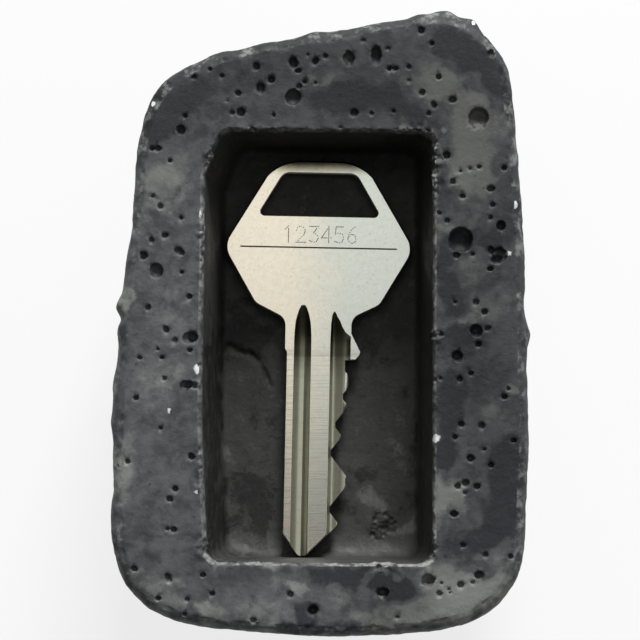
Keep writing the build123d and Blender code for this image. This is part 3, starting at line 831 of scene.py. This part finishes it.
def worn_crown(loop):
    """The outline with the two corners at the top of the bow worn to a wider curve."""
    finer = []
    for i, point in enumerate(loop):
        after = loop[(i + 1) % len(loop)]
        count = 1
        if min(point.y, after.y) > 5.0:
            count = max(1, round((after - point).length / 0.5))
        finer += [point.lerp(after, share / count) for share in range(count)]
    for point in finer:
        side = math.copysign(1.0, point.x)
        centre = Vector((side * CROWN_CENTRE[0], CROWN_CENTRE[1]))
        out = point - centre
        if out.x * side > 0 and out.y > 0 and out.length > CROWN_RADIUS:
            point.xy = centre + out * (CROWN_RADIUS / out.length)
    return finer


def rounded_peaks(loop):
    """The outline with the corners of the blade's bitted edge cut back twice, as wear does."""
    for _ in range(2):
        cut = []
        for i, point in enumerate(loop):
            after = loop[(i + 1) % len(loop)]
            if point.y > -16.0 and after.y > -16.0:
                cut.append(point)
                continue
            share = min(0.25, 0.3 / max((after - point).length, 0.01))
            cut += [point.lerp(after, share), after.lerp(point, share)]
        loop = cut
    return loop


def rounding_tool(mesh):
    """A plate with the key's outline and rounded edges, a little larger than the key elsewhere."""
    shape = bmesh.new()
    loops = [rounded_peaks(spread_out(loop, 0.12)) for loop in section_loops(mesh, SECTION_LEVEL)]
    outer = max(loops, key=lambda loop: abs(signed_area(loop)))
    outer[:] = worn_crown(outer)
    for loop in loops:
        steps = inward(loop, loop is outer)
        radii = [edge_radius(point) for point in loop]
        angles = [math.pi / 2 * i / EDGE_STEPS for i in range(EDGE_STEPS + 1)]
        profile = [(1 - math.cos(a), 1 - math.sin(a), False) for a in reversed(angles)]
        profile += [(1 - math.cos(a), 1 - math.sin(a), True) for a in angles]
        rings = []
        for inset, drop, upper in profile:
            ring = []
            for point, step, radius in zip(loop, steps, radii):
                at = point + step * (inset * radius - CLEAR)
                fall = drop * min(radius, KEY_TOP / 2 - 0.05)
                level = KEY_TOP + CLEAR - fall if upper else fall - CLEAR
                ring.append(shape.verts.new((at.x, at.y, level)))
            rings.append(ring)
        for lower, upper in zip(rings, rings[1:]):
            for i in range(len(loop)):
                shape.faces.new((lower[i - 1], lower[i], upper[i], upper[i - 1]))
        loop[:] = [rings[0], rings[-1]]
    for end in (0, 1):
        caps = [[vert.co for vert in loop[end]] for loop in loops]
        verts = [vert for loop in loops for vert in loop[end]]
        for corners in mathutils.geometry.tessellate_polygon(caps):
            shape.faces.new([verts[i] for i in corners])
    bmesh.ops.recalc_face_normals(shape, faces=shape.faces)
    return closed(shape, bpy.data.meshes.new("rounding_tool"))


def punch_marks():
    """Small cones point down along every stroke of the number, none of which touch each other."""
    shape = bmesh.new()
    punched = []
    for place_in_line, digit in enumerate(NUMBER):
        left = NUMBER_LEFT + place_in_line * DIGIT_PITCH
        corners = [Vector((left + x * DIGIT_WIDTH, NUMBER_FOOT + y * DIGIT_HEIGHT))
                   for x, y in STROKES[digit]]
        for start, end in zip(corners, corners[1:]):
            count = max(1, round((end - start).length / PUNCH_STEP))
            for i in range(count + 1):
                at = start.lerp(end, i / count)
                if all((at - other).length > 2.15 * PUNCH_RADIUS for other in punched):
                    punched.append(at)
    sixths = [i * math.pi / 3 for i in range(6)]
    for at in punched:
        ring = [(at.x + PUNCH_RADIUS * math.cos(a), at.y + PUNCH_RADIUS * math.sin(a)) for a in sixths]
        rim = [shape.verts.new((x, y, level)) for level in (KEY_TOP, KEY_TOP + 0.1) for x, y in ring]
        bottom = shape.verts.new((at.x, at.y, KEY_TOP - PUNCH_DEPTH))
        shape.faces.new(rim[6:])
        for i in range(6):
            after = (i + 1) % 6
            shape.faces.new((rim[i], rim[after], rim[6 + after], rim[6 + i]))
            shape.faces.new((rim[after], rim[i], bottom))
    bmesh.ops.recalc_face_normals(shape, faces=shape.faces)
    return closed(shape, bpy.data.meshes.new("punch_marks"))


def ruled_off(mesh):
    """Divides the key's upper face into small squares where the number is, so that each has few marks."""
    left, right, foot, top = NUMBER_FIELD
    shape = opened(mesh)
    border = [(x, 0, 0) for x in (left, right)] + [(0, y, 0) for y in (foot, top)]
    inner = [(x, 0, 0) for x in np.arange(left + SQUARE_WIDTH, right - 0.1, SQUARE_WIDTH)]
    inner += [(0, y, 0) for y in np.arange(foot + SQUARE_HEIGHT, top - 0.1, SQUARE_HEIGHT)]
    for number, point in enumerate(border + inner):
        upper = [face for face in shape.faces
                 if face.normal.z > 0.999 and face.verts[0].co.z > KEY_TOP - 0.01]
        if number >= len(border):
            middles = [(face, face.calc_center_median()) for face in upper]
            upper = [face for face, at in middles if left < at.x < right and foot < at.y < top]
        edges = list(dict.fromkeys(edge for face in upper for edge in face.edges))
        verts = list(dict.fromkeys(vert for face in upper for vert in face.verts))
        across = (1, 0, 0) if point[0] else (0, 1, 0)
        bmesh.ops.bisect_plane(shape, geom=verts + edges + upper, plane_co=point, plane_no=across)
    return closed(shape, bpy.data.meshes.new("ruled_off"))


def combined(mesh, tool, operation):
    """A new mesh: a boolean of two meshes."""
    other = added("tool", tool)
    made = with_modifier(mesh, "BOOLEAN", object=other, operation=operation, solver="EXACT")
    bpy.data.objects.remove(other)
    return made


def key_slot(centre, normal):
    """Which of the key's materials a face has, from its middle and its normal in the key's frame."""
    x, y, z = centre
    if not SECTION_LEVEL < z < KEY_TOP - 0.004:
        return SATIN
    on_score = abs(y) < SCORE_HALF_WIDTH and abs(x) < SCORE_HALF_LENGTH
    in_number = 0.5 < y < 3.4 and abs(x) < 6.2
    if z > MARKS_LEVEL and (on_score or in_number):
        return DARK
    in_groove = any(low < x < high for low, high in GROOVES)
    return MILLED if in_groove and y < GROOVES_END and normal.z > 0.05 else SATIN


def make_key():
    """The key, as the CAD has it, with rounded edges, its number and its plating."""
    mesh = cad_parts["key"].data.copy()
    to_row = key_to_row()
    mesh.transform(to_row.inverted())
    shape = opened(mesh)
    bmesh.ops.remove_doubles(shape, verts=shape.verts, dist=SAME_PLACE)
    bmesh.ops.dissolve_limit(shape, angle_limit=FLAT_ANGLE, verts=shape.verts, edges=shape.edges)
    closed(shape, mesh)
    mesh = combined(mesh, rounding_tool(mesh), "INTERSECT")
    mesh = combined(ruled_off(mesh), punch_marks(), "DIFFERENCE")
    mesh.materials.clear()
    for face in mesh.polygons:
        face.use_smooth = True
        face.material_index = key_slot(face.center, face.normal)
    mesh.set_sharp_from_angle(angle=SHARP_ANGLE)
    flat = [face.index for face in mesh.polygons if abs(face.normal.z) > 0.9995]
    mesh.transform(to_row)
    corners = [corner.vector.copy() for corner in mesh.corner_normals]
    for index in flat:
        for corner in mesh.polygons[index].loop_indices:
            corners[corner] = mesh.polygons[index].normal
    mesh.normals_split_custom_set(corners)
    mesh.name = "key_plated"
    return added("key_plated", mesh)


# ------------------------ floor, light and camera
FLOOR_COLOUR = (0.86, 0.86, 0.86, 1)
FLOOR_WHITENESS = 0.8      # the share of plain white that the camera and reflections see in the floor


def make_floor():
    """A plain pale floor under the rock, white to the camera and still keeping the rock's shadow."""
    bpy.ops.mesh.primitive_plane_add(size=3.0, location=(0, 0, 0))
    floor = bpy.context.object
    floor.name = "floor"
    material = bpy.data.materials.new("floor_pale")
    tree = cleared(material)
    seen = wired(tree, "LightPath", {}).outputs
    either = wired(tree, "Math", {0: seen["Is Camera Ray"], 1: seen["Is Glossy Ray"]}, operation="MAXIMUM")
    share = wired(tree, "Math", {0: either.outputs[0], 1: FLOOR_WHITENESS}, operation="MULTIPLY")
    matt = wired(tree, "BsdfDiffuse", {"Color": FLOOR_COLOUR})
    white = wired(tree, "Emission", {"Strength": 1.0})
    mix = wired(tree, "MixShader", {0: share.outputs[0], 1: matt.outputs[0], 2: white.outputs[0]})
    wired(tree, "OutputMaterial", {"Surface": mix.outputs[0]})
    floor.data.materials.append(material)


def make_world(light):
    """Even, dim light from all round, with a pale background where the camera sees past the floor."""
    world = bpy.data.worlds.new("studio")
    bpy.context.scene.world = world
    tree = cleared(world)
    around = wired(tree, "Background", {"Color": (light, light, light, 1)})
    pale = wired(tree, "Background", {})
    seen = wired(tree, "LightPath", {}).outputs["Is Camera Ray"]
    mix = wired(tree, "MixShader", {0: seen, 1: around.outputs[0], 2: pale.outputs[0]})
    wired(tree, "OutputWorld", {"Surface": mix.outputs[0]})


def soft_lamp(name, spot, wide, high, power, colour=(1, 1, 1)):
    """A soft lamp at a place in metres, which shines straight down until it is turned."""
    data = bpy.data.lights.new(name, "AREA")
    data.shape = "RECTANGLE"
    data.size, data.size_y = wide, high
    data.energy = power
    data.color = colour
    lamp = added(name, data)
    lamp.location = spot
    return lamp


def side_lamp(name, azimuth, elevation, distance, size, power):
    """A square lamp that faces the rock. Azimuth 0 is +Y, the photograph's top, and 90 is +X."""
    turn, rise = math.radians(azimuth), math.radians(elevation)
    away = Vector((math.sin(turn) * math.cos(rise), math.cos(turn) * math.cos(rise), math.sin(rise)))
    lamp = soft_lamp(name, away * distance, size, size, power)
    lamp.rotation_mode = "QUATERNION"
    lamp.rotation_quaternion = away.to_track_quat("Z", "Y")


def overhead_card(name, span_x, span_y, height, brightness, colour):
    """A soft card over the rock, which the key's faces reflect. brightness 1 is white."""
    wide, high = span_x[1] - span_x[0], span_y[1] - span_y[0]
    spot = (sum(span_x) / 2, sum(span_y) / 2, height)
    soft_lamp(name, spot, wide, high, brightness * math.pi * wide * high, colour)


def make_camera():
    """The camera, above the near end of the rock and facing the middle of the photograph."""
    middle_x, middle_y = from_photo(IMAGE_SIZE / 2, IMAGE_SIZE / 2)
    target = Vector((middle_x, middle_y, BASE_FACE)) * MM
    eye = Vector((*CAMERA_FOOT, BASE_FACE + CAMERA_HEIGHT)) * MM
    data = bpy.data.cameras.new("camera")
    data.sensor_width = SENSOR
    data.lens = SENSOR * (eye - target).length / (IMAGE_SIZE * PIXEL * MM)
    camera = added("camera", data)
    camera.location = eye
    camera.rotation_mode = "QUATERNION"
    camera.rotation_quaternion = (target - eye).to_track_quat("-Z", "Y")
    data.clip_start = 0.01
    bpy.context.scene.camera = camera


# ------------------------ everything together
bpy.context.scene.view_settings.view_transform = "Standard"
make_camera()

casting = make_casting()
casting.data.materials.clear()
casting.data.materials.append(stone_material())
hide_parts("rock_body")
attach(casting, "rock")

key = make_key()
# Each look's last numbers place its painted shade: the top of the bow for the satin, the grooves' upper
# ends for the milled, and off the key for the dark.
for look in (
    ("nickel_satin", (0.87, 0.81, 0.69, 1), (0.70, 0.72, 0.67, 1), 1.0, 0.20, 0.5, (22.0, 24.2, 0.03)),
    ("nickel_milled", (0.60, 0.60, 0.48, 1), (0.60, 0.60, 0.49, 1), 1.0, 0.44, 0.2, (-8.5, 0.3, 0.1)),
    ("nickel_dark", (0.10, 0.09, 0.07, 1), (0.10, 0.09, 0.07, 1), 0.5, 0.5, 0.2, (40.0, 41.0, 1.0)),
):
    key.data.materials.append(nickel_material(*look))
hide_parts("key")
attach(key, "key")

make_floor()
make_world(0.07)
side_lamp("main", 8, 29, 0.9, 0.26, 12.0)
side_lamp("right", 100, 38, 0.9, 0.9, 0.8)
overhead_card("overhead_left", (-0.40, 0.0), (0.038, 0.60), 0.9, 1.1, (1.0, 0.97, 0.90))
overhead_card("overhead_right", (0.0, 0.40), (0.038, 0.60), 0.9, 0.9, (0.96, 1.0, 0.98))
